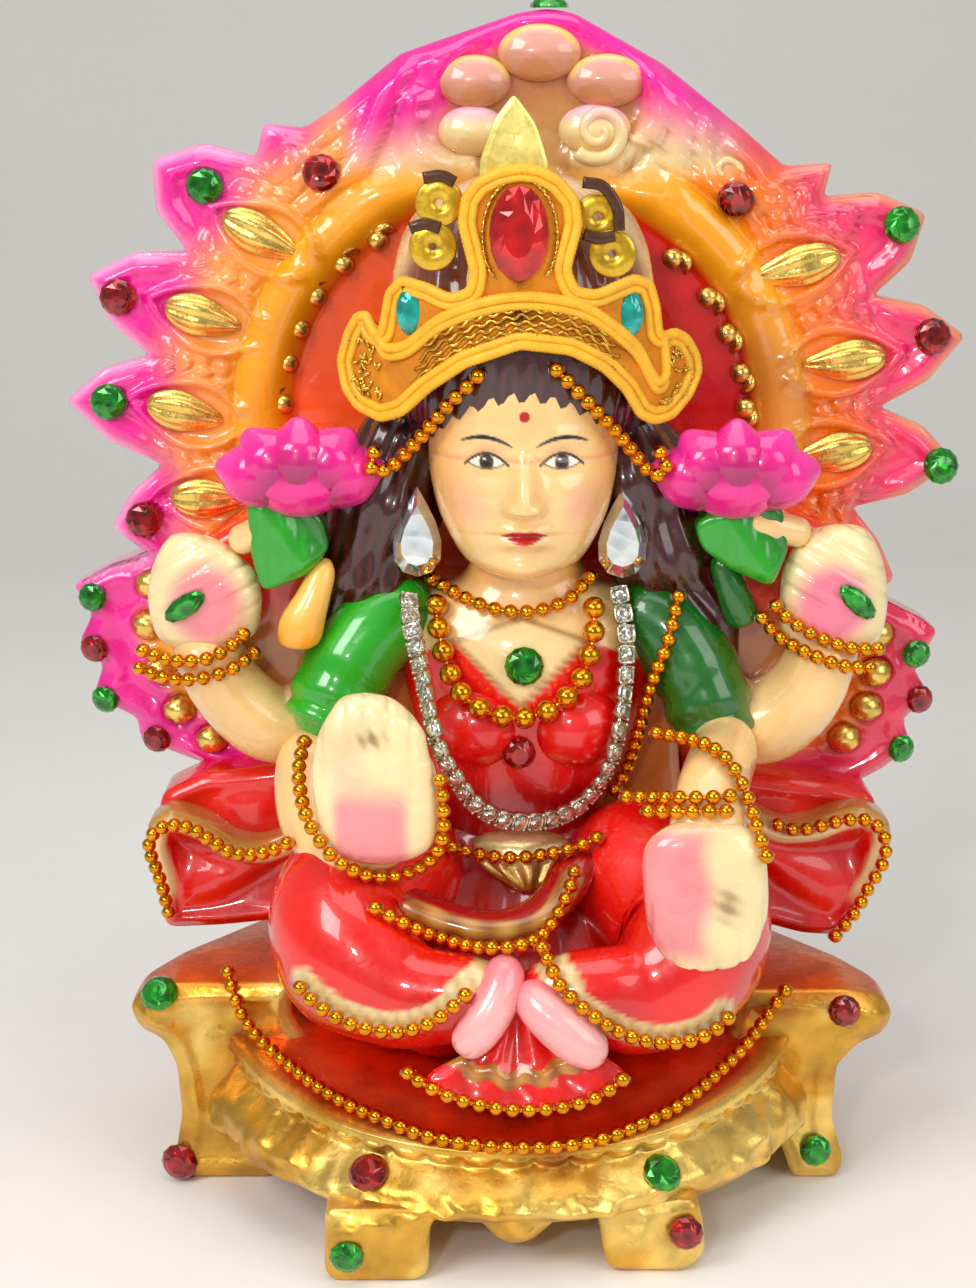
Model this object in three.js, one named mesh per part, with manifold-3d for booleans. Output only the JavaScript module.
// Seated Lakshmi idol with its throne and flame-edged halo: a painted plaster casting with glued-on trim.
// Millimetres, +Z up, the figure faces -Y, the origin lies on the ground below the middle of the idol.
import * as THREE from 'three';
import { mergeVertices } from 'three/addons/utils/BufferGeometryUtils.js';
import Module from 'manifold-3d';

const wasm = await Module();
wasm.setup();

// Driving dimensions

const ORIGIN_SHIFT = [-0.2, 2.75, 0]; // from the drawing's axes to the middle of the idol's footprint
const GAP = 0.3; // clear space left under everything that is glued on
const VIEWER = new THREE.Vector3(-5.4, -480, 225); // eye point from which the trim was laid out

const SMALL_BEAD = 1.5; // radius of the 3 mm plated beads
const LARGE_BEAD = 2.4; // radius of the beads of the big necklace
const CUP_WIDTH = 4.0; // square cups of the rhinestone chain

const STONE = { radius: 4.0, shoulder: 3.1, rise: 2.4, sides: 8 }; // flat-backed round stones

const HALO = {
  back: 48.5,
  field: 38.5,
  centre: [1.5, 154],
  bevel: 2.4,
  foot: { halfWidth: 46, bottom: 0 }, // the plate runs down behind the throne and stands on the ground
};

const SHORT_FLAME = 15; // sides shorter than this stay straight

// Each flame of the halo's edge: its tip and the notch that follows it, going up the side.
const FLAMES_LEFT = {
  start: [-69.2, 78.3],
  flames: [
    { tip: [-82.0, 83.3], notch: [-82.5, 88.2], bulge: 0.8 },
    { tip: [-92.1, 93.1], notch: [-89.6, 100.3], bulge: 1.2 },
    { tip: [-94.8, 105.2], notch: [-91.6, 111.6], bulge: 1.2 },
    { tip: [-95.6, 118.1], notch: [-78.4, 124.4], bulge: 1.6 },
    { tip: [-86.8, 130.8], notch: [-75.4, 144.5], bulge: 1.4 },
    { tip: [-95.6, 158.2], notch: [-77.4, 168.0], bulge: 2.2 },
    { tip: [-90.1, 184.8], notch: [-68.7, 189.8], bulge: 2.4 },
    { tip: [-75.7, 208.7], notch: [-53.8, 209.3], bulge: 3.2 },
    { tip: [-52.3, 216.2], notch: [-43.8, 215.2], bulge: 0.8 },
  ],
};
const FLAMES_RIGHT = {
  start: [75.3, 73.1],
  flames: [
    { tip: [87.9, 81.9], notch: [85.9, 88.0], bulge: 0.8 },
    { tip: [91.8, 93.2], notch: [87.9, 99.1], bulge: 1.2 },
    { tip: [92.8, 107.9], notch: [78.6, 115.9], bulge: 1.4 },
    { tip: [83.0, 119.4], notch: [73.2, 135.2], bulge: 1.2 },
    { tip: [95.1, 144.9], notch: [78.2, 156.9], bulge: 2.2 },
    { tip: [96.0, 172.0], notch: [76.1, 180.6], bulge: 2.4 },
    { tip: [86.7, 197.6], notch: [64.9, 201.1], bulge: 2.8 },
    { tip: [66.8, 208.1], notch: [56.6, 207.4], bulge: 1.0 },
  ],
};
const CREST = [
  [47.5, 215.2], [30.9, 228.2], [12.4, 238.4], [7.3, 239.2], [1.2, 238.6], [-23.5, 230.3],
  [-36.9, 219.7],
];

// Turned relief of the halo about its centre: radius and height in front of the field.
const HALO_RELIEF = [
  [0, -6], [0, 0.4], [49, 0.4], [52, 4.8], [57, 5.2], [61, 1.6], [68, 4.2], [73.4, 0.6], [73.4, -6],
  [0, -6],
];
const RELIEF_BOTTOM = 90; // height below which the turned relief is cut away

const ALMOND = { length: 8.6, width: 4.4, height: 3.2 };
const ALMONDS = [
  [-52.9, 194.2], [-65.4, 176.7], [-69.7, 156.9], [-64.5, 137.5],
  [59.3, 187.2], [69.5, 167.7], [68.0, 147.2],
];
const CREST_LOBES = [
  { at: [5.2, 230.4], size: [9.5, 7.0] },
  { at: [-8.2, 224.6], size: [8.0, 6.6] },
  { at: [19.0, 224.6], size: [8.0, 6.6] },
  { at: [-9.2, 214.6], size: [7.4, 6.2] },
  { at: [17.4, 214.6], size: [7.4, 6.2] },
];
const CREST_ARCH = [
  [-19, 205], [-21.5, 217], [-17.5, 229.5], [-5, 234.0], [6, 235.6], [19, 233.4], [29.5, 226],
  [31, 214], [25, 204],
];

// The cloth spread out at each side of the figure: back leaf and front leaf, in x and z.
const WING_LEFT = {
  back: [
    [-36, 50], [-36, 84], [-50, 81.5], [-66.5, 79.8], [-75.5, 75.5], [-77.2, 68], [-73.6, 50], [-53, 50],
  ],
  front: [
    [-36, 52], [-36, 80], [-42.5, 74.5], [-47, 69.3], [-53.2, 66.8], [-59, 67.6], [-66, 72.2],
    [-73, 74.6], [-77.8, 71.5],
    [-78, 66], [-76, 59], [-74.6, 47.8], [-63, 48.2], [-53, 49.2],
  ],
};
const WING_RIGHT = {
  back: [[36, 50], [36, 84], [50, 80], [68.5, 77.4], [77.5, 75.2], [79.6, 68], [72.5, 50], [55, 50]],
  front: [
    [36, 52], [36, 80], [46, 77], [52.3, 73.6], [57.3, 71.1], [63.6, 71.5], [69, 74], [75, 75], [80, 71.8],
    [80.6, 66.5], [78, 58.5], [73, 50], [69.5, 46], [62, 46.4], [55, 48.4],
  ],
};
const WING = { back: 40, middle: 25, front: 16.5, bevel: 1.8 };

// Throne
const SEAT = {
  centre: [-1, 20],
  halfWidth: 62,
  reachFront: 67,
  reachBack: 26,
  frontHeight: 25.2,
  slope: 0.165, // rise per millimetre towards the back
  bottom: 11,
  square: 2.1,
};
// Going up the seat's wall: share of the height from the bottom to the rim, and size of the plan there.
const SEAT_WALL = [
  [0, 1.0], [0.2, 1.07], [0.45, 1.05], [0.72, 0.955], [0.86, 0.985], [0.95, 1.012], [1, 0.985],
];
// Behind, each side of the throne is cut away on a slant between two points, given in x and y.
const SIDE = { front: -6, back: 42, bevel: 1.8, slant: [[84, -3.5], [51, 42]] };
const SIDE_LEFT = [
  [-46, 36], [-46, 43.5], [-70, 43.5], [-77, 42], [-79.6, 38], [-77.6, 33.6], [-72.8, 31], [-70.2, 25],
  [-69.4, 14], [-71.2, 4], [-70.2, 0], [-51, 0], [-48.6, 4.5], [-42, 10], [-42, 30],
];
const SIDE_RIGHT = [
  [44, 30], [42, 16], [50, 14.5], [56.2, 7], [58.6, 0], [68, 0], [69.2, 4], [66.6, 13], [67.2, 25],
  [71.4, 30], [76.6, 32.4], [78.6, 36.6], [76, 40.6], [69, 42], [46, 42],
];
const FRONT_LEG = { back: -34, bevel: 1.6 };
const FRONT_LEGS = {
  left: {
    front: -51.5,
    outline: [[-36.6, 15], [-36.9, 1.6], [-35.2, 0], [-18.4, 0], [-16.8, 1.8], [-16.4, 12], [-12, 15]],
  },
  right: {
    front: -47.5,
    outline: [[12, 15], [15.6, 12], [17.2, 1.6], [19, 0], [33, 0], [36.6, 3.4], [36.4, 9], [35, 15]],
  },
};
const PENDANT = [[-11, 14], [-7, 10.6], [-3.4, 6.6], [-0.2, 5.6], [3.4, 6.6], [7.4, 10.6], [11.4, 14]];

// Figure. Each station is x, y, z, half width, half depth.
const HEAD = [
  [1.6, -0.5, 127.8, 5.5, 6], [1.6, 0, 132, 11.5, 12], [1.6, 1, 139.5, 16, 14.6], [1.6, 2, 147, 18.2, 16],
  [1.6, 3, 155, 19, 17], [1.6, 4, 163, 19, 18], [1.6, 5, 172, 18.5, 18], [1.6, 6, 182, 15, 16],
];
const HAIR_CAP = [
  [1.6, 13, 146, 20, 18], [1.6, 12, 155, 24, 22], [1.6, 11, 164, 25.5, 24.5], [1.6, 11, 174, 26, 25.5],
  [1.6, 12, 184, 26, 25], [1.6, 13, 194, 24, 22.5], [1.6, 15, 202, 19, 18], [1.6, 17, 208, 11, 12],
];
const HAIR_LEFT = [
  [-17, 16, 160, 9, 12], [-24, 14, 148, 11, 13], [-28, 13, 136, 11.5, 13], [-31, 14, 124, 11, 12],
  [-35, 14, 113, 9, 11],
  [-36, 15, 105, 6, 9],
];
const HAIR_RIGHT = [
  [20, 16, 160, 9, 12], [25, 14, 148, 11, 13], [29, 13, 136, 11.5, 13], [33, 14, 124, 10.5, 12],
  [39, 14, 112, 8, 11],
  [42, 15, 103, 5.5, 9],
];
const NOSE = [
  [1.6, -12.6, 153, 1.6, 2], [1.6, -15.2, 147.5, 2.2, 2.4], [1.6, -17, 143.4, 3.2, 3],
  [1.6, -14.6, 141, 2.4, 2.6],
];
const TORSO = [
  [0.5, 14, 62, 22, 18], [0.5, 12, 70, 18.5, 15.5], [0.5, 11.5, 76, 18, 15], [1, 11.5, 84, 20, 15.5],
  [2, 12, 95, 23, 17.5],
  [2.8, 12, 106, 26, 18], [3, 12, 115, 27, 16.5], [3, 12, 121, 24, 13.5], [2.6, 11, 126, 14, 11],
  [2.2, 9.5, 131, 11, 10.5],
  [1.8, 8, 138, 10.5, 10],
];
const BUST = { size: [10, 9.5, 9], left: [-7.5, 0.5, 97.5], right: [12, 0.5, 97.5] };
const LAP = [
  [-0.5, 12, 27, 43, 33], [-0.5, 11, 40, 43, 33], [-0.5, 12, 52, 38, 29], [0, 13, 63, 30, 23],
  [0.5, 13, 72, 21, 17],
  [0.5, 12, 80, 17, 13],
];
const LEG_LEFT = [
  [-12, 8, 66, 14, 13], [-24, -3, 65.5, 16, 14], [-33.5, -14, 62, 17.4, 15], [-33, -24, 56.5, 15.8, 13],
  [-21, -31, 51.5, 11, 9.5], [-8, -34, 52, 8, 7], [3, -33, 54, 5, 5],
];
const LEG_RIGHT = [
  [13, 8, 68, 14, 13], [25, -3, 66, 16.4, 15], [35, -14, 61.5, 17.2, 15.4], [34.5, -24, 56, 15.8, 13.4],
  [23, -31, 51, 11.4, 9.5], [10, -34, 53, 8, 7], [0, -33, 54, 5, 5],
];
const FOOT_LEFT = [
  [-1.5, -34, 60.5, 3.6, 4], [-3.4, -38.5, 54, 4.4, 4.4], [-7.4, -41, 47.6, 4.2, 4],
  [-11.4, -41, 43.6, 3, 3.2],
];
const FOOT_RIGHT = [
  [1, -36, 55, 3.6, 4], [6, -41, 51, 4.6, 4.4], [12, -42.6, 46, 4.6, 4.2], [17, -42, 42.6, 3.2, 3.4],
];
const SASH = [
  [-33, -8, 75, 3, 5], [-22, -18, 66.6, 3, 5], [-8, -22, 62.4, 3, 5], [2, -21, 63, 3, 5],
  [9.5, -16, 67.6, 3, 5],
  [13.5, -8, 75, 3, 5],
];
const BELLY_LEAF = [
  [1.2, -3.2, 76, 10, 4], [1.2, -5.2, 71, 9, 4.4], [2.2, -7, 67.4, 5, 4], [2.4, -7.6, 64.6, 2, 3],
];
const PLEATS = {
  outline: [
    [-1, 19], [3.4, 19], [10, 12], [20.6, 5.2], [21.8, 2.6], [13.4, -1.4], [2.6, -3.4], [-9, -2],
    [-17.6, 2], [-17, 4.4], [-8, 9],
  ],
  foot: [0, -43.2, 35.4],
  depth: 20,
  lean: 0.42,
  bevel: 1.4,
};
const UPPER_ARM_LEFT = [
  [-16, 12, 120, 9, 9], [-27, 9, 116.5, 9.5, 10.5], [-34, 6, 108, 9.4, 10.5], [-38, 4, 99, 8.8, 9.5],
  [-40, 3, 94, 7, 8],
];
const UPPER_ARM_RIGHT = [
  [20, 12, 120, 9, 9], [30, 9, 116, 9.5, 10.5], [37, 6, 107, 9.2, 10.5], [40.6, 4, 97, 8.6, 9.5],
  [41.6, 3, 92, 7, 8],
];
const FOREARM_LEFT = [
  [-40, 3, 96, 6.4, 7], [-42, -2, 87, 6.8, 7], [-40, -10, 79, 6.8, 6.8], [-34, -18, 76, 6.6, 6],
  [-29, -23.5, 79, 7.4, 4.6],
  [-27, -26, 86, 8, 4.2],
];
const FOREARM_RIGHT = [
  [41.6, 4, 95, 6.4, 7], [42, -5, 93, 6.8, 7], [40, -16, 92.4, 6.8, 6.6], [38, -26, 91, 7, 6],
  [36.6, -32.6, 85.6, 7.4, 4.4],
  [36.2, -34.4, 79, 8, 4.2],
];
const PALM_UP = [
  [-26.6, -26.5, 76.5, 7, 3.4], [-26.6, -27.2, 82, 11, 4.4], [-26.8, -28, 90, 12, 4.6],
  [-27.6, -28, 98, 11.4, 4.3],
  [-26.4, -27.4, 105, 9.4, 4], [-24.6, -26.6, 110, 6.4, 3.2],
];
const PALM_DOWN = [
  [35.2, -33.4, 88.4, 8, 3.4], [35.6, -35, 82, 11.4, 4.4], [36.2, -36, 74, 11.9, 4.7],
  [36.6, -36, 67, 11.2, 4.4],
  [37.2, -35.4, 61.5, 8.6, 4], [37.6, -34.6, 58.2, 5.4, 3],
];
const BACK_ARM_LEFT = [
  [-33, 16, 106, 8, 7], [-42, 12, 97, 8.4, 7.6], [-50, 10, 95, 9, 8], [-58, 8, 102, 9.2, 7.6],
  [-62.5, 6, 111, 9.2, 7], [-62.5, 5, 117, 9, 6],
];
const BACK_ARM_RIGHT = [
  [35, 16, 106, 8, 8], [44, 11, 97, 9.2, 8.6], [52, 9, 96, 10.2, 8.8], [59, 7, 102, 10, 8],
  [63, 6, 111, 9.4, 7], [64, 5, 117, 9, 6],
];
const HAND_LEFT = [
  [-62.4, 5, 112, 8.6, 5.6], [-62.6, 4.2, 118, 11, 6.2], [-62.6, 3.6, 125, 11.4, 6.2],
  [-62, 4, 131, 9.6, 5.4], [-60.6, 5, 135, 6, 4.4],
];
const HAND_RIGHT = [
  [64.2, 5, 111, 8.6, 5.6], [64.4, 4.2, 117.5, 10.6, 6.2], [64.4, 3.6, 125, 10.8, 6.4],
  [63.6, 4, 132, 9.4, 5.6], [62, 5, 137.4, 6, 4.4],
];
const FINGER_LEFT = [[-57, 3, 134, 3, 3], [-50, 1, 137.5, 3.2, 3.2], [-45, 1, 139.5, 3, 3]];
const FINGER_RIGHT = [[59, 3, 136, 3, 3], [52, 1, 138, 3.2, 3.2], [46, 1, 139.5, 3, 3]];
const STEM_LEFT = [
  [-37.6, 2, 131.4, 2.4, 2.4], [-40.4, 0, 124, 3.4, 3], [-43, -0.6, 117.6, 4.6, 3.8],
  [-43.4, 0, 113.4, 3.8, 3.4],
];
const STEM_RIGHT = [[41, 4, 132, 2.4, 2.4], [44, 4, 124, 3.2, 3], [47, 5, 117, 3.6, 3.4]];
const LOTUS = { petals: 5, size: [6.6, 6.4, 8.4], spread: 8.6, core: [10.5, 9, 8.6] };
const LOTUS_LEFT = [-42.6, 0.5, 148.6];
const LOTUS_RIGHT = [43.6, 0.5, 148.2];
const LEAF = { front: -2, back: 6, bevel: 1.4 };
const LEAF_LEFT = [[-53.4, 144], [-46, 145], [-38.6, 141], [-36.8, 134], [-41.5, 128.5], [-50.4, 125], [-52.6, 132]];
const LEAF_RIGHT = [[35.6, 139], [42, 143.6], [53, 142.6], [54.6, 134], [51.6, 126], [43, 129.6], [37, 134]];
// Plaster that fills the mould between the raised pieces and the halo behind them.
const FILLING = { front: 13, back: 40 };
const FILLINGS = [
  [
    [-70, 114], [-71, 128], [-63, 133], [-51, 140], [-51, 153], [-37, 154], [-31, 146], [-28, 100], [-50, 93],
    [-63, 101],
  ],
  [[71, 114], [72, 128], [65, 135], [52, 142], [52, 153], [38, 153], [32, 146], [30, 100], [52, 93], [66, 101]],
  [[-34, 30], [-36, 70], [-30, 122], [32, 122], [36, 70], [34, 30]],
];

// Glued-on trim. Routes and spots are drawn on the plane y = 0 as the viewer sees them, in x and z,
// and each piece is then pushed back along the line of sight until it meets what lies behind it.
const CHAINS = [
  {
    name: 'hair_beads_left',
    route: [
      [-7.4, 168.2], [-13.5, 162.3], [-19.2, 155.6], [-24.8, 150], [-28.4, 149.4], [-28, 153],
    ],
  },
  {
    name: 'hair_beads_right',
    route: [
      [8, 169.4], [14.3, 163.1], [21.3, 155.6], [27, 148.8], [30, 149.6], [28.7, 153],
    ],
  },
  {
    name: 'choker_beads',
    route: [
      [-16.6, 127.6], [-13.6, 125.7], [-9, 123.2], [-4, 121.4], [1, 120.8], [6, 121.4], [11.1, 123.7],
      [15, 128],
    ],
  },
  {
    name: 'large_bead_necklace',
    radius: LARGE_BEAD,
    sides: 6,
    route: [
      [-15.8, 122.2], [-15.5, 118.7], [-14.7, 113.8], [-13.3, 108.8], [-10.7, 103.8], [-6.6, 100.5],
      [-2.2, 99], [1.9, 98.8],
      [6.6, 100.2], [10.4, 103], [13.4, 106.7], [15, 111.3], [15.9, 116.7], [15.9, 121.6],
    ],
  },
  {
    name: 'rhinestone_chain',
    radius: CUP_WIDTH / 2,
    route: [
      [-21.4, 122.5], [-20.9, 118.1], [-19.4, 112.5], [-18.2, 106.3], [-17, 100], [-15, 92.5],
      [-11.5, 85.9], [-7.9, 80.8],
      [-2.9, 77.8], [2.2, 77], [7.7, 77.6], [12.8, 80.2], [17.1, 85.1], [20, 91.6], [21.4, 99.4],
      [22.1, 107.8],
      [22.2, 116.7], [21, 124.3],
    ],
  },
  {
    name: 'pallu_beads',
    route: [
      [32.8, 124], [31.8, 119], [30.5, 113.6], [28.2, 107.3], [26.4, 101.1], [24.9, 94.8], [23.1, 88.7],
      [20.6, 83.6],
    ],
  },
  {
    name: 'waist_beads',
    route: [
      [-12.8, 71.2], [-7, 69.7], [-0.9, 69], [6.3, 69.7], [12.5, 71.2], [17, 73.3],
    ],
  },
  {
    name: 'hip_beads',
    route: [
      [-28.7, 58.2], [-21.5, 54.3], [-12.9, 50.8], [-7.1, 49.7], [-0.8, 49.7], [4.3, 51.2], [7.8, 54.7],
      [11, 61], [12.4, 66],
    ],
  },
  {
    name: 'raised_wrist_beads',
    route: [
      [-42.8, 93.7], [-43.9, 88.9], [-43.8, 83.6], [-42.7, 78.2], [-40.3, 73.3], [-36.7, 68.6],
      [-31.8, 65.8], [-26, 64.9],
      [-20.6, 66.4], [-16.5, 69.4], [-14.6, 73.7], [-14.6, 80.4], [-15.2, 85.7],
    ],
  },
  {
    name: 'lowered_wrist_beads',
    route: [[23, 82.1], [27.7, 81.9], [33.9, 81.9], [39, 81.9], [44.1, 82.3]],
    second: [[27.4, 79], [33.1, 79], [38, 79], [43.4, 79]],
  },
  {
    name: 'sleeve_beads_right',
    route: [
      [28.9, 95.6], [33.6, 94.8], [38.1, 93.5], [41.8, 91.4], [45, 87.8], [47.4, 82.6], [49.2, 77.6],
      [50.6, 73], [51.8, 69.4],
    ],
  },
  {
    name: 'back_wrist_beads_left',
    route: [[-75, 112.8], [-71, 111.2], [-66.6, 110.6], [-61.9, 111.2], [-57.8, 113.4], [-54.7, 116.2]],
    second: [[-75.7, 109.2], [-71.7, 107.6], [-67.3, 106.8], [-62.4, 107.2], [-57.1, 109], [-52.6, 112.4]],
  },
  {
    name: 'back_wrist_beads_right',
    route: [[52.4, 122], [55.3, 119.1], [59, 116.7], [63.5, 114.6], [68.6, 113.2], [73.2, 113.2]],
    second: [[49.7, 119.6], [53, 116], [57.5, 113.1], [62, 111], [66.7, 109.5], [71.7, 109.2]],
  },
  {
    name: 'wing_beads_left',
    route: [
      [-46.6, 72.2], [-49.8, 70.7], [-54.3, 69.7], [-58.4, 70.3], [-62.5, 72.9], [-66.5, 75.4], [-71, 76],
      [-74.3, 74], [-75, 71], [-73.9, 67.3], [-72.6, 63], [-71.4, 57.3],
    ],
  },
  {
    name: 'wing_beads_right',
    route: [
      [54, 76.2], [58, 75], [62.7, 75.9], [67.1, 77], [72, 77.2], [75.2, 75], [76.4, 71.4],
      [75.6, 67.3], [73.4, 63.2],
      [71.3, 58.8], [69, 55.1], [66.6, 52.1],
    ],
  },
  {
    name: 'hem_beads_left',
    route: [
      [-44.6, 40.7], [-42.1, 37.8], [-38.4, 34.9], [-33.8, 32.5], [-28, 31.1], [-22.8, 31.1],
      [-17.5, 32.9], [-13.3, 36], [-10.2, 39.1],
    ],
  },
  {
    name: 'hem_beads_right',
    route: [
      [5.8, 49.5], [7.5, 45.7], [9.6, 41.3], [13.2, 37.3], [17.2, 34], [21.8, 31.1], [26.8, 29.1],
      [32.1, 28.4], [37.3, 29.1], [41.9, 31.3], [44.7, 34],
    ],
  },
  {
    name: 'pleat_beads',
    route: [
      [-22.2, 21.7], [-18.6, 19], [-13.4, 16.3], [-7.1, 14.5], [-0.8, 13.4], [5.6, 13.4], [11.9, 14.3],
      [18.2, 16.6], [22.8, 20.2],
    ],
  },
  {
    name: 'seat_rim_beads',
    route: [
      [-59.5, 44.2], [-58.1, 38.5], [-55.8, 33.1], [-51.9, 28], [-46.9, 23.3], [-41.1, 18.6],
      [-34.5, 14.5], [-27.1, 11.1],
      [-18.7, 7.7], [-9.2, 5.7], [0.3, 4.8], [9.8, 5.2], [19.3, 7], [27.7, 10.7], [35, 14.7],
      [41.2, 20.2], [46.6, 25.8],
      [50.8, 31.3], [53.9, 36.2], [56.5, 40.2],
    ],
  },
];
const CHAIN_STEP = 5.5; // distance between the bends of a chain
const CHAIN_FALL = 0.8; // how far a chain may fall back per millimetre of its length, where it hangs free

const RED = 0x7a0c10;
const GREEN = 0x0b6b2a;
const GILT = 0xd28c1c;
const SILVER = 0xcfcfc0;
const ROUND_STONES = {
  halo_stone_left_1: { at: [-60.1, 205], colour: GREEN },
  halo_stone_left_2: { at: [-37.4, 207.2], colour: RED },
  halo_stone_left_3: { at: [-77.4, 183.7], colour: RED },
  halo_stone_left_4: { at: [-80, 163.3], colour: GREEN },
  halo_stone_left_5: { at: [-73.7, 139.7], colour: RED },
  halo_stone_left_6: { at: [-84.6, 123.9], colour: GREEN, radius: 3.2 },
  halo_stone_left_7: { at: [-84.6, 113.4], colour: RED, radius: 3.2 },
  halo_stone_left_8: { at: [-82.6, 103], colour: GREEN, radius: 3.2 },
  halo_stone_left_9: { at: [-72.6, 94.6], colour: RED, radius: 3.2 },
  halo_stone_right_1: { at: [42.6, 202.5], colour: RED },
  halo_stone_right_2: { at: [74.5, 197.5], colour: GREEN },
  halo_stone_right_3: { at: [81.5, 175.9], colour: RED },
  halo_stone_right_4: { at: [84, 150.4], colour: GREEN },
  halo_stone_right_5: { at: [80.8, 112.3], colour: GREEN, radius: 3.2 },
  halo_stone_right_6: { at: [81.8, 102.8], colour: RED, radius: 3.2 },
  halo_stone_right_7: { at: [78.4, 92.5], colour: GREEN, radius: 3.2 },
  shelf_stone_left: { at: [-73.8, 39.2], colour: GREEN },
  side_stone_left: { at: [-70.4, 2], colour: RED },
  front_stone_left: { at: [-30.6, -1.2], colour: RED },
  leg_stone_left: { at: [-35.6, -20], colour: GREEN, radius: 3.4 },
  shelf_stone_right: { at: [68.9, 35.8], colour: RED, radius: 3.4 },
  side_stone_right: { at: [63.6, 4.6], colour: GREEN, radius: 3.4 },
  front_stone_right: { at: [31.3, -1.2], colour: GREEN },
  leg_stone_right: { at: [36.8, -14.4], colour: RED, radius: 3.4 },
  throat_stone: { at: [1.9, 109.6], colour: GREEN },
  chest_stone: { at: [0.9, 91.6], colour: RED, radius: 3.4 },
};
const CREST_STONE = [7.3, 43.5]; // x and y on the top edge of the crest

const CROWN = {
  outline: [
    [0.6, 209.6], [4.3, 209.1], [8.2, 207.1], [11.5, 203], [12.1, 198.4], [9.9, 190.2], [11.4, 186.6],
    [15, 185.9],
    [22.5, 188.7], [26.1, 187.2], [27.5, 182.7], [28.2, 177], [31, 177.8], [33.9, 176.1], [36.2, 172.1],
    [36.7, 168.7],
    [34.7, 164.3], [30.9, 160.4], [26.9, 159.7], [23.7, 161.4], [20.7, 166.6], [16.3, 171], [10, 174.4],
    [0.7, 175.6],
    [-9.4, 172], [-16.3, 167.1], [-21.8, 161.8], [-26.3, 160.1], [-31.4, 162], [-34, 165.4], [-35, 171],
    [-33.3, 177],
    [-31.2, 180.6], [-28.7, 181.2], [-26.6, 177], [-25.9, 179.9], [-24.9, 185.3], [-22, 188.4],
    [-16.5, 187], [-12.8, 185.3],
    [-9.2, 186.3], [-8.6, 190], [-10.8, 198.6], [-10.2, 203.4], [-7.8, 206.7], [-3.9, 208.7],
  ],
  middle: 0.8,
  thickness: 2.4,
  bevel: 0.7,
  front: -20,
  bend: 0.016, // how fast the felt falls back to the sides, per millimetre squared
};
const OVAL_STONE = { at: [0.6, 196], size: [5.6, 2.6, 9] };
const TEAL_STONES = { crown_teal_stone_left: [-20.2, 180.9], crown_teal_stone_right: [21.9, 180.4] };
const TEAL_SIZE = [3, 1.8, 4.8];
const LEAF_SEQUIN = {
  outline: [[-6.6, 198], [-7, 210], [-4.4, 217.6], [-0.6, 222.6], [3.6, 217], [6, 209.6], [5.4, 198]],
  thickness: 0.9,
};
const DISC_SEQUIN = { radius: 4.6, thickness: 0.9 };
const SEQUINS = {
  crown_sequins_left: [[-14.6, 202.4], [-15.8, 194.2]],
  crown_sequins_right: [[15.4, 199.6], [18.2, 192.8]],
};
const EARRING = { width: 6, height: 9.2, points: 7, thickness: 2.6, left: [-19.4, 137.5], right: [21.3, 136.9] };
const PALM_STONE = {
  size: [5, 1.4, 2.3],
  left: { at: [-66.2, 122], turn: -0.6 },
  right: { at: [68.6, 123], turn: 0.75 },
};

// Geometry helpers

// Positions only, shared vertices merged and empty triangles dropped.
function bare(geometry) {
  if (!geometry.hasAttribute('normal')) return geometry;
  geometry.deleteAttribute('normal');
  geometry.deleteAttribute('uv');
  const merged = mergeVertices(geometry, 1e-4);
  const index = merged.index.array;
  const kept = [];
  for (let i = 0; i < index.length; i += 3) {
    const [a, b, c] = [index[i], index[i + 1], index[i + 2]];
    if (a !== b && b !== c && c !== a) kept.push(a, b, c);
  }
  merged.setIndex(kept);
  return merged;
}

function signedVolume(geometry) {
  const at = geometry.attributes.position;
  const index = geometry.index.array;
  const [a, b, c] = [new THREE.Vector3(), new THREE.Vector3(), new THREE.Vector3()];
  let sum = 0;
  for (let i = 0; i < index.length; i += 3) {
    a.fromBufferAttribute(at, index[i]);
    b.fromBufferAttribute(at, index[i + 1]);
    c.fromBufferAttribute(at, index[i + 2]);
    sum += a.dot(b.cross(c)) / 6;
  }
  return sum;
}

// A closed geometry as a solid that can be joined and cut, with its faces turned outwards.
function toSolid(geometry) {
  const clean = bare(geometry);
  const triVerts = Uint32Array.from(clean.index.array);
  if (signedVolume(clean) < 0) {
    for (let i = 0; i < triVerts.length; i += 3) {
      [triVerts[i], triVerts[i + 1]] = [triVerts[i + 1], triVerts[i]];
    }
  }
  const vertProperties = Float32Array.from(clean.attributes.position.array);
  return new wasm.Manifold(new wasm.Mesh({ numProp: 3, vertProperties, triVerts }));
}

function toGeometry(solid) {
  const { vertProperties, triVerts } = solid.getMesh();
  const geometry = new THREE.BufferGeometry();
  geometry.setAttribute('position', new THREE.BufferAttribute(Float32Array.from(vertProperties), 3));
  geometry.setIndex(new THREE.BufferAttribute(Uint32Array.from(triVerts), 1));
  return geometry;
}

function join(solids) {
  return solids.reduce((sum, next) => sum.add(next));
}

// Moves every vertex of a geometry with a function of its position.
function bend(geometry, move) {
  const at = geometry.attributes.position;
  const point = new THREE.Vector3();
  for (let i = 0; i < at.count; i += 1) {
    point.fromBufferAttribute(at, i);
    move(point);
    at.setXYZ(i, point.x, point.y, point.z);
  }
  return geometry;
}

function spline(points) {
  return new THREE.CatmullRomCurve3(points.map((p) => new THREE.Vector3(...p)), false, 'catmullrom', 0.5);
}

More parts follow.
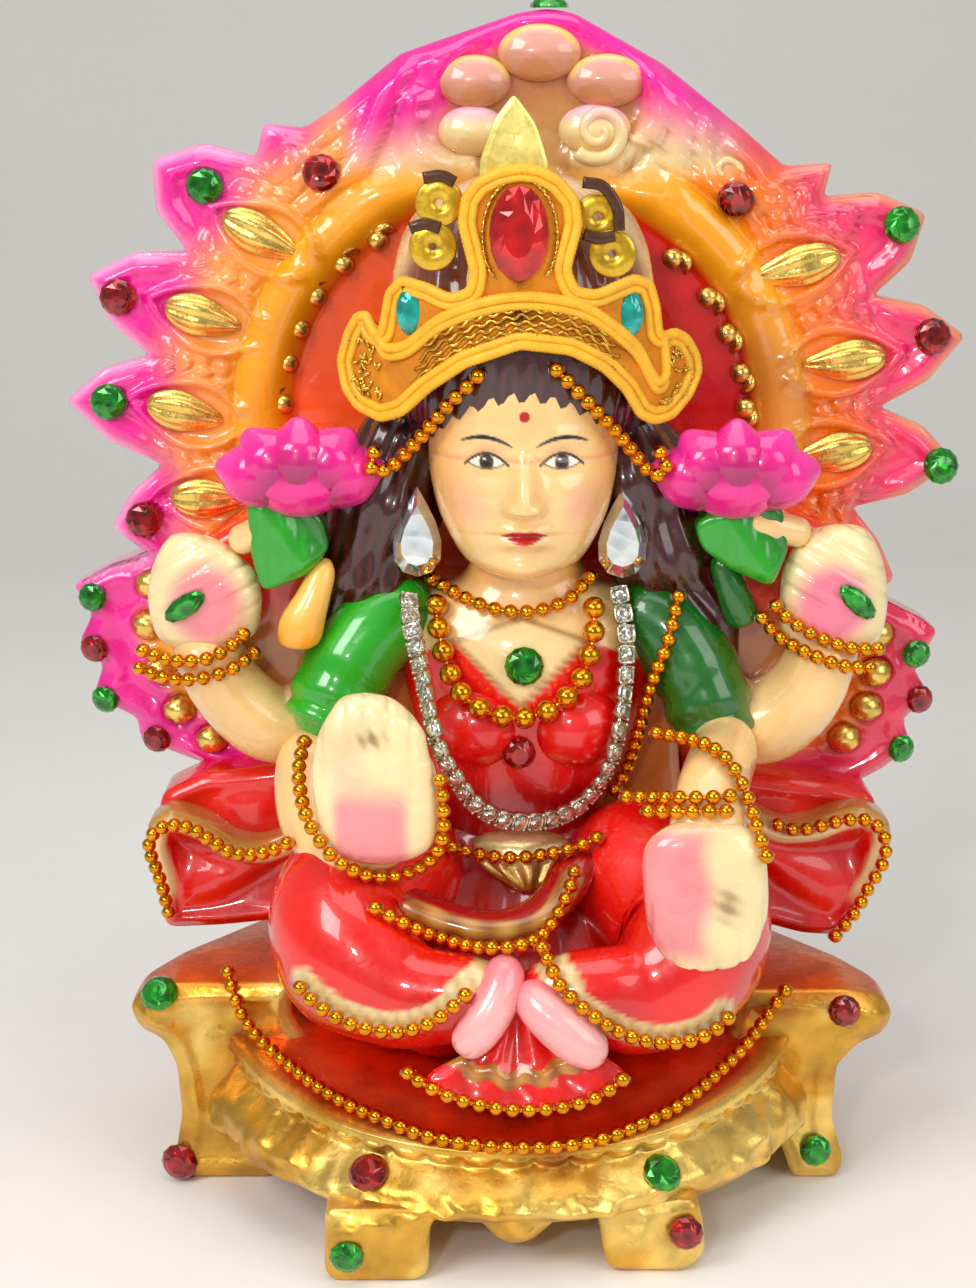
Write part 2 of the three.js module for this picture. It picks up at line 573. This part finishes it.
// A body drawn along a curve of stations: the rings of a unit ball moved to the curve and scaled.
// The width of a ring lies along `side`, and `level` keeps every ring horizontal.
function limb(stations, options = {}) {
  const { around = 10, rings = 8, side = [1, 0, 0], level = false, square = 2, cap = 0.16 } = options;
  const path = spline(stations.map((s) => s.slice(0, 3)));
  const size = spline(stations.map((s) => [s[3], s[4], 0]));
  const across = new THREE.Vector3();
  const depth = new THREE.Vector3();
  return toSolid(bend(bare(new THREE.SphereGeometry(1, around, rings)), (point) => {
    const share = Math.acos(THREE.MathUtils.clamp(point.y, -1, 1)) / Math.PI;
    const angle = Math.atan2(point.z, point.x);
    const end = Math.min(share, 1 - share) / cap;
    const swell = end >= 1 ? 1 : Math.sqrt(Math.max(0, 1 - (1 - end) ** 2));
    const [c, s] = [Math.cos(angle), Math.sin(angle)];
    const corner = (Math.abs(c) ** square + Math.abs(s) ** square) ** (-1 / square);
    const tangent = level ? new THREE.Vector3(0, 0, 1) : path.getTangent(share);
    across.set(...side).addScaledVector(tangent, -tangent.dot(across.set(...side))).normalize();
    depth.crossVectors(tangent, across);
    const radii = size.getPoint(share).multiplyScalar(swell * corner);
    point.copy(path.getPoint(share)).addScaledVector(across, c * radii.x).addScaledVector(depth, s * radii.y);
  }));
}

// A flat piece cut along an outline in x and z, between two depths, with rounded-off edges.
function slab(outline, front, back, bevel = 0) {
  const shape = new THREE.Shape(outline.map(([x, z]) => new THREE.Vector2(x, z)));
  const geometry = bare(new THREE.ExtrudeGeometry(shape, {
    depth: back - front - 2 * bevel,
    bevelEnabled: bevel > 0,
    bevelThickness: bevel,
    bevelSize: bevel,
    bevelOffset: -bevel,
    bevelSegments: 1,
  }));
  return geometry.rotateX(Math.PI / 2).translate(0, back - bevel, 0);
}

function ball(centre, size, { around = 8, rings = 5, turn = 0 } = {}) {
  const geometry = bare(new THREE.SphereGeometry(1, around, rings)).scale(...size);
  return toSolid(geometry.rotateY(turn).translate(...centre));
}

// A bar of round section along a smooth curve through the points.
function bar(points, radius, { sides = 6, steps = 12 } = {}) {
  const section = new THREE.Shape();
  for (let i = 0; i < sides; i += 1) {
    const angle = (2 * Math.PI * i) / sides;
    section[i === 0 ? 'moveTo' : 'lineTo'](radius * Math.cos(angle), radius * Math.sin(angle));
  }
  const extrudePath = spline(points);
  return bare(new THREE.ExtrudeGeometry(section, { steps, bevelEnabled: false, extrudePath }));
}

// Halo

// The two bulging sides of each flame, from the start up to the last notch.
function flameEdge({ start, flames }, outward) {
  const points = [start];
  let from = new THREE.Vector2(...start);
  for (const { tip, notch, bulge } of flames) {
    for (const target of [tip, notch]) {
      const to = new THREE.Vector2(...target);
      const along = to.clone().sub(from).normalize();
      const outwards = new THREE.Vector2(-along.y, along.x).multiplyScalar(outward * bulge);
      const middle = from.clone().lerp(to, 0.5).add(outwards);
      if (from.distanceTo(to) > SHORT_FLAME) points.push([middle.x, middle.y]);
      points.push(target);
      from = to;
    }
  }
  return points;
}

function haloOutline() {
  const { halfWidth, bottom } = HALO.foot;
  return [
    [-halfWidth, bottom],
    [-halfWidth, FLAMES_LEFT.start[1] - 8],
    ...flameEdge(FLAMES_LEFT, 1),
    ...CREST.toReversed(),
    ...flameEdge(FLAMES_RIGHT, -1).reverse(),
    [halfWidth, FLAMES_RIGHT.start[1] - 8],
    [halfWidth, bottom],
  ];
}

function haloRelief() {
  const profile = HALO_RELIEF.map(([radius, height]) => new THREE.Vector2(radius, height));
  const turned = bare(new THREE.LatheGeometry(profile, 24)).rotateX(Math.PI);
  const [x, z] = HALO.centre;
  const below = bare(new THREE.BoxGeometry(200, 60, 80)).translate(x, HALO.field, RELIEF_BOTTOM - 40);
  return toSolid(turned.translate(x, HALO.field, z)).subtract(toSolid(below));
}

function haloBosses() {
  const [cx, cz] = HALO.centre;
  const front = HALO.field - 3.4;
  const almonds = ALMONDS.map(([x, z]) => ball([x, front, z], [ALMOND.length, ALMOND.height, ALMOND.width], {
    turn: -Math.atan2(z - cz, x - cx),
    around: 6,
    rings: 4,
  }));
  return join(almonds);
}

function crest() {
  const lobes = CREST_LOBES.map(({ at: [x, z], size: [width, height] }) => (
    ball([x, HALO.field - 1, z], [width, 4.6, height], { around: 6, rings: 4 })
  ));
  const arch = bar(CREST_ARCH.map(([x, z]) => [x, HALO.field - 0.6, z]), 2.8, { sides: 4, steps: 10 });
  return join([...lobes, toSolid(arch)]);
}

function halo() {
  const outline = haloOutline();
  const plate = toSolid(slab(outline, HALO.field, HALO.back, HALO.bevel));
  return join([plate, haloRelief(), haloBosses(), crest()]);
}

// Throne

function seat() {
  const { centre, halfWidth, reachFront, reachBack, frontHeight, slope, bottom, square } = SEAT;
  const levels = SEAT_WALL.length - 1;
  const frontEdge = centre[1] - reachFront;
  return toSolid(bend(bare(new THREE.CylinderGeometry(1, 1, 1, 24, levels)), (point) => {
    const [share, size] = SEAT_WALL[Math.round((point.y + 0.5) * levels)];
    const angle = Math.atan2(point.z, point.x);
    const [c, s] = [Math.cos(angle), Math.sin(angle)];
    const corner = (Math.abs(c) ** square + Math.abs(s) ** square) ** (-1 / square);
    const out = Math.hypot(point.x, point.z) * size * corner;
    const y = centre[1] + s * out * (s < 0 ? reachFront : reachBack);
    const rim = frontHeight + slope * (y - frontEdge);
    point.set(centre[0] + c * out * halfWidth, y, bottom + share * (rim - bottom));
  }));
}

// One side of the throne: a slab whose back is cut away on a slant.
function throneSide(outline) {
  const { front, back, bevel, slant } = SIDE;
  const side = Math.sign(outline[0][0]);
  const [outer, inner] = slant.map(([x, y]) => new THREE.Vector2(side * x, y));
  const behind = new THREE.Vector2(0, 60);
  const wedge = new THREE.Shape([outer, inner, inner.clone().add(behind), outer.clone().add(behind)]);
  const cut = bare(new THREE.ExtrudeGeometry(wedge, { depth: 80, bevelEnabled: false })).translate(0, 0, -10);
  return toSolid(slab(outline, front, back, bevel)).subtract(toSolid(cut));
}

function throne() {
  const legs = Object.values(FRONT_LEGS).map(({ outline, front }) => toSolid(
    slab(outline, front, FRONT_LEG.back, FRONT_LEG.bevel),
  ));
  const pendant = toSolid(slab(PENDANT, FRONT_LEGS.left.front + 3.5, FRONT_LEG.back, FRONT_LEG.bevel));
  return join([seat(), throneSide(SIDE_LEFT), throneSide(SIDE_RIGHT), ...legs, pendant]);
}

// Figure

function wing({ back, front }) {
  return join([
    toSolid(slab(back, WING.middle, WING.back, WING.bevel)),
    toSolid(slab(front, WING.front, WING.middle + 2, WING.bevel)),
  ]);
}

function pleats() {
  const { outline, foot, depth, lean, bevel } = PLEATS;
  const geometry = slab(outline, 0, depth, bevel);
  return toSolid(geometry.rotateX(-lean).translate(...foot));
}

function lotus([x, y, z]) {
  const { petals, size, spread, core } = LOTUS;
  const leaves = Array.from({ length: petals }, (_, i) => {
    const angle = Math.PI * (0.08 + (0.84 * i) / (petals - 1));
    const across = spread * Math.cos(angle);
    const up = 0.5 * spread * Math.sin(angle) - 1;
    const centre = [x + across, y - 3 + Math.abs(i - 2), z + up];
    return ball(centre, size, { turn: -angle + Math.PI / 2, around: 6, rings: 3 });
  });
  return join([ball([x, y, z], core, { around: 6, rings: 4 }), ...leaves]);
}

function body() {
  return join([
    limb(LAP, { around: 12, rings: 5, level: true, square: 2.3 }),
    limb(TORSO, { around: 11, rings: 8, level: true }),
    ball(BUST.left, BUST.size, { around: 7, rings: 4 }),
    ball(BUST.right, BUST.size, { around: 7, rings: 4 }),
    limb(LEG_LEFT, { around: 9, rings: 6, side: [0, 0, 1] }),
    limb(LEG_RIGHT, { around: 9, rings: 6, side: [0, 0, 1] }),
    limb(FOOT_LEFT, { around: 7, rings: 5 }),
    limb(FOOT_RIGHT, { around: 7, rings: 5 }),
    limb(SASH, { around: 5, rings: 6, side: [0, 0, 1] }),
    limb(BELLY_LEAF, { around: 7, rings: 4, level: true }),
    pleats(),
  ]);
}

function head() {
  return join([
    limb(HEAD, { around: 13, rings: 7, level: true }),
    limb(HAIR_CAP, { around: 12, rings: 6, level: true, cap: 0.22 }),
    limb(NOSE, { around: 6, rings: 4, level: true }),
    limb(HAIR_LEFT, { around: 7, rings: 5 }),
    limb(HAIR_RIGHT, { around: 7, rings: 5 }),
  ]);
}

function arms() {
  return join([
    limb(UPPER_ARM_LEFT, { around: 8, rings: 5 }),
    limb(UPPER_ARM_RIGHT, { around: 8, rings: 5 }),
    limb(FOREARM_LEFT, { around: 7, rings: 6 }),
    limb(FOREARM_RIGHT, { around: 7, rings: 6 }),
    limb(PALM_UP, { around: 9, rings: 5, square: 2.5 }),
    limb(PALM_DOWN, { around: 9, rings: 5, square: 2.5 }),
    limb(BACK_ARM_LEFT, { around: 7, rings: 6, side: [0, 1, 0] }),
    limb(BACK_ARM_RIGHT, { around: 7, rings: 6, side: [0, 1, 0] }),
    limb(HAND_LEFT, { around: 8, rings: 5 }),
    limb(HAND_RIGHT, { around: 8, rings: 5 }),
  ]);
}

function heldFlowers() {
  const leaves = [LEAF_LEFT, LEAF_RIGHT].map((outline) => toSolid(slab(outline, LEAF.front, LEAF.back, LEAF.bevel)));
  return join([
    lotus(LOTUS_LEFT),
    lotus(LOTUS_RIGHT),
    ...leaves,
    limb(FINGER_LEFT, { around: 5, rings: 4, side: [0, 0, 1] }),
    limb(FINGER_RIGHT, { around: 5, rings: 4, side: [0, 0, 1] }),
    limb(STEM_LEFT, { around: 7, rings: 5 }),
    limb(STEM_RIGHT, { around: 5, rings: 4 }),
  ]);
}

function fillings() {
  return join(FILLINGS.map((outline) => toSolid(slab(outline, FILLING.front, FILLING.back))));
}

// Everything that is cast in one, without crumbs that hang free of it.
function casting() {
  const wings = [wing(WING_LEFT), wing(WING_RIGHT)];
  const whole = join([halo(), throne(), ...wings, body(), head(), arms(), heldFlowers(), fillings()]);
  const pieces = whole.decompose();
  return pieces.reduce((largest, next) => (next.volume() > largest.volume() ? next : largest));
}

// Laying on the trim

const idol = new THREE.Group();
const laid = [];
const sightLine = new THREE.Raycaster();

function piece(name, solid, colour, roughness = 0.3, metalness = 0) {
  laid.push(solid);
  const material = new THREE.MeshStandardMaterial({ color: colour, roughness, metalness });
  const mesh = new THREE.Mesh(toGeometry(solid), material);
  mesh.name = name;
  idol.add(mesh);
}

// Distance from `from` along `towards` to the first face of the pieces laid so far, and that face's normal.
function reach(from, towards) {
  sightLine.set(from, towards);
  const [hit] = sightLine.intersectObjects(idol.children, false);
  return hit ? { distance: hit.distance, normal: hit.face.normal } : { distance: Infinity, normal: null };
}

// Points spread over a disc of radius one: its centre and two rings.
const DISC = [[0, 0, 0]];
for (const radius of [0.55, 0.95]) {
  for (let i = 0; i < 6; i += 1) {
    const angle = (i * Math.PI) / 3;
    DISC.push([radius * Math.cos(angle), radius * Math.sin(angle), radius]);
  }
}

// How far a ball can travel from the viewer towards a point before it touches anything.
function ballTravel(towards, radius) {
  const across = new THREE.Vector3(0, 0, 1).cross(towards).normalize();
  const up = new THREE.Vector3().crossVectors(towards, across);
  const travels = DISC.map(([u, v, off]) => {
    const from = VIEWER.clone().addScaledVector(across, u * radius).addScaledVector(up, v * radius);
    return reach(from, towards).distance - radius * Math.sqrt(1 - off * off);
  });
  return Math.min(...travels);
}

// Nodes of a chain laid along a route: evenly spread, each one pushed back until the chain touches.
function layRoute(route, radius, step) {
  const line = spline(route.map(([x, z]) => [x, 0, z]));
  const count = Math.max(2, Math.round(line.getLength() / step));
  const fine = line.getSpacedPoints(count * 3).map((point) => {
    const towards = point.sub(VIEWER).normalize();
    return { towards, travel: ballTravel(towards, radius + GAP) };
  });
  const travel = fine.filter((_, i) => i % 3 === 0).map((sample) => sample.travel);
  const fall = CHAIN_FALL * step;
  for (let i = 1; i <= count; i += 1) travel[i] = Math.min(travel[i], travel[i - 1] + fall);
  for (let i = count - 1; i >= 0; i -= 1) travel[i] = Math.min(travel[i], travel[i + 1] + fall);
  for (let i = 1; i < fine.length - 1; i += 1) {
    const [node, share] = [Math.floor(i / 3), (i % 3) / 3];
    const excess = travel[node] * (1 - share) + travel[node + 1] * share - fine[i].travel;
    if (share > 0 && excess > 0) {
      const weight = excess / (share ** 2 + (1 - share) ** 2);
      travel[node] -= weight * (1 - share);
      travel[node + 1] -= weight * share;
    }
  }
  return travel.map((distance, i) => VIEWER.clone().addScaledVector(fine[i * 3].towards, distance));
}

// Pushes a solid along a direction until the first point of it, or of what lies behind it, is a gap away.
function settle(solid, towards) {
  const mesh = new THREE.Mesh(toGeometry(solid), new THREE.MeshBasicMaterial({ side: THREE.DoubleSide }));
  const at = mesh.geometry.attributes.position;
  const point = new THREE.Vector3();
  const retreat = 60;
  let free = Infinity;
  for (let i = 0; i < at.count; i += 1) {
    point.fromBufferAttribute(at, i).addScaledVector(towards, -retreat);
    free = Math.min(free, reach(point, towards).distance - retreat);
  }
  mesh.geometry.computeBoundingSphere();
  const { center, radius } = mesh.geometry.boundingSphere;
  const back = towards.clone().negate();
  for (const other of idol.children) {
    const corners = other.geometry.attributes.position;
    for (let i = 0; i < corners.count; i += 1) {
      point.fromBufferAttribute(corners, i);
      const offset = point.clone().sub(center);
      const along = offset.dot(towards);
      const aside = offset.addScaledVector(towards, -along).length();
      if (aside < radius && along > -radius) {
        const shifted = point.clone().addScaledVector(towards, retreat);
        sightLine.set(shifted, back);
        const hits = sightLine.intersectObject(mesh, false);
        if (hits.length > 0) free = Math.min(free, hits[0].distance - retreat);
      }
    }
  }
  const shift = towards.clone().multiplyScalar(free - GAP);
  return solid.translate([shift.x, shift.y, shift.z]);
}

// Draws a solid forwards, a little at a time, until it is clear of every piece laid so far.
function drawClear(solid) {
  let moved = solid;
  while (laid.some((other) => other.intersect(moved).volume() > 0)) moved = moved.translate([0, -0.1, 0]);
  return moved;
}

// One row of beads along a route, or two rows tied together at their last bead.
function layChain({ name, route, second, radius = SMALL_BEAD, sides = 4 }) {
  const rows = (second ? [route, second] : [route]).map((line) => (
    layRoute(line, radius, CHAIN_STEP).map((node) => node.toArray())
  ));
  const solids = rows.map((nodes) => toSolid(bar(nodes, radius, { sides, steps: nodes.length - 1 })));
  if (second) solids.push(toSolid(bar(rows.map((nodes) => nodes.at(-1)), radius, { sides, steps: 1 })));
  const colour = name === 'rhinestone_chain' ? SILVER : GILT;
  piece(name, drawClear(join(solids)), colour, 0.3, 0.9);
}

// The direction that a small piece faces where the viewer sees it at a spot: the mean of nearby normals.
function facing([x, z], radius) {
  const mean = new THREE.Vector3(0, -0.4, 0);
  for (const [u, v] of DISC) {
    const towards = new THREE.Vector3(x + u * radius, 0, z + v * radius).sub(VIEWER).normalize();
    const { normal } = reach(VIEWER, towards);
    if (normal) mean.add(normal);
  }
  return mean.normalize();
}

// Where the line of sight through a spot first meets a piece.
function meeting([x, z]) {
  const towards = new THREE.Vector3(x, 0, z).sub(VIEWER).normalize();
  return VIEWER.clone().addScaledVector(towards, reach(VIEWER, towards).distance);
}

// A geometry made with its back on the plane y = 0, glued flat at a spot.
function glue(name, geometry, spot, spread, colour, options = {}) {
  const { normal = facing(spot, spread), roughness = 0.05, metalness = 0 } = options;
  const turn = new THREE.Quaternion().setFromUnitVectors(new THREE.Vector3(0, -1, 0), normal);
  const centre = meeting(spot).addScaledVector(normal, 6);
  const placed = geometry.applyQuaternion(turn).translate(centre.x, centre.y, centre.z);
  piece(name, settle(toSolid(placed), normal.clone().negate()), colour, roughness, metalness);
}

function roundStone(radius) {
  const { shoulder, rise, sides } = STONE;
  const scale = radius / STONE.radius;
  const profile = [[0, 0], [radius, 0], [shoulder * scale, 0.75 * rise * scale], [0, rise * scale]];
  return bare(new THREE.LatheGeometry(profile.map((p) => new THREE.Vector2(...p)), sides)).rotateX(Math.PI);
}

// A flat-backed stone with an oval girdle: x, y and z sizes are half width, rise and half height.
function ovalStone([halfWidth, rise, halfHeight], sides = 8) {
  const profile = [[0, 0], [1, 0], [0.7, 0.8], [0, 1]].map((p) => new THREE.Vector2(...p));
  return bare(new THREE.LatheGeometry(profile, sides)).rotateX(Math.PI).scale(halfWidth, rise, halfHeight);
}

function crownPatch() {
  const { outline, middle, thickness, bevel, front, bend: fall } = CROWN;
  const felt = slab(outline, front, front + thickness, bevel);
  return toSolid(bend(felt, (point) => {
    point.y += fall * (point.x - middle) ** 2;
  }));
}

function earring() {
  const { width, height, points, thickness } = EARRING;
  const drop = Array.from({ length: points }, (_, i) => {
    const angle = (2 * Math.PI * i) / points;
    return [1.12 * width * Math.sin(angle) * Math.sin(angle / 2) ** 1.2, height * Math.cos(angle)];
  });
  return slab(drop.reverse(), -thickness, 0, 0.9);
}

// The sequins stand behind the felt of the crown, in front of the cast hair.
function leafSequin() {
  const back = CROWN.front + CROWN.thickness;
  return toSolid(slab(LEAF_SEQUIN.outline, back + 4, back + 4 + LEAF_SEQUIN.thickness));
}

function discSequins(spots) {
  const { radius, thickness } = DISC_SEQUIN;
  const back = CROWN.front + CROWN.thickness;
  const fall = CROWN.bend * Math.max(...spots.map(([x]) => x * x));
  return join(spots.map(([x, z], i) => {
    const disc = bare(new THREE.CylinderGeometry(radius, radius, thickness, 9));
    return toSolid(disc.translate(x, back + fall + 1.2 + 0.3 * i, z));
  }));
}

const BACKWARDS = new THREE.Vector3(0, 1, 0);
const FORWARDS = new THREE.Vector3(0, -1, 0);
const DOWNWARDS = new THREE.Vector3(0, 0, -1);

piece('idol_casting', casting(), 0xf3b46a, 0.25);

piece('crown_leaf_sequin', leafSequin(), 0xe8d24a, 0.35, 0.4);
for (const [name, spots] of Object.entries(SEQUINS)) piece(name, discSequins(spots), 0xd9b020, 0.2, 0.9);
piece('crown_patch', settle(crownPatch(), BACKWARDS), 0xe0a11e, 0.8);
glue('crown_oval_stone', ovalStone(OVAL_STONE.size, 10), OVAL_STONE.at, 3, 0xc01020, { normal: FORWARDS });
for (const [name, spot] of Object.entries(TEAL_STONES)) glue(name, ovalStone(TEAL_SIZE), spot, 2, 0x12a090);

for (const side of ['left', 'right']) {
  glue(`earring_${side}`, earring(), EARRING[side], 3, 0xd8dcd8, { normal: FORWARDS, metalness: 0.6 });
  const { at, turn } = PALM_STONE[side];
  glue(`palm_stone_${side}`, ovalStone(PALM_STONE.size, 6).rotateY(turn), at, 2, GREEN);
}

CHAINS.forEach(layChain);

for (const [name, { at, colour, radius = STONE.radius }] of Object.entries(ROUND_STONES)) {
  glue(name, roundStone(radius), at, radius, colour);
}

const crestStone = roundStone(STONE.radius).rotateX(-Math.PI / 2);
crestStone.translate(CREST_STONE[0], CREST_STONE[1], 250);
piece('crest_stone', settle(toSolid(crestStone), DOWNWARDS), GREEN, 0.05);

// The origin moves to the middle of the ground under the whole idol.
for (const { geometry } of idol.children) geometry.translate(...ORIGIN_SHIFT);

export default idol;
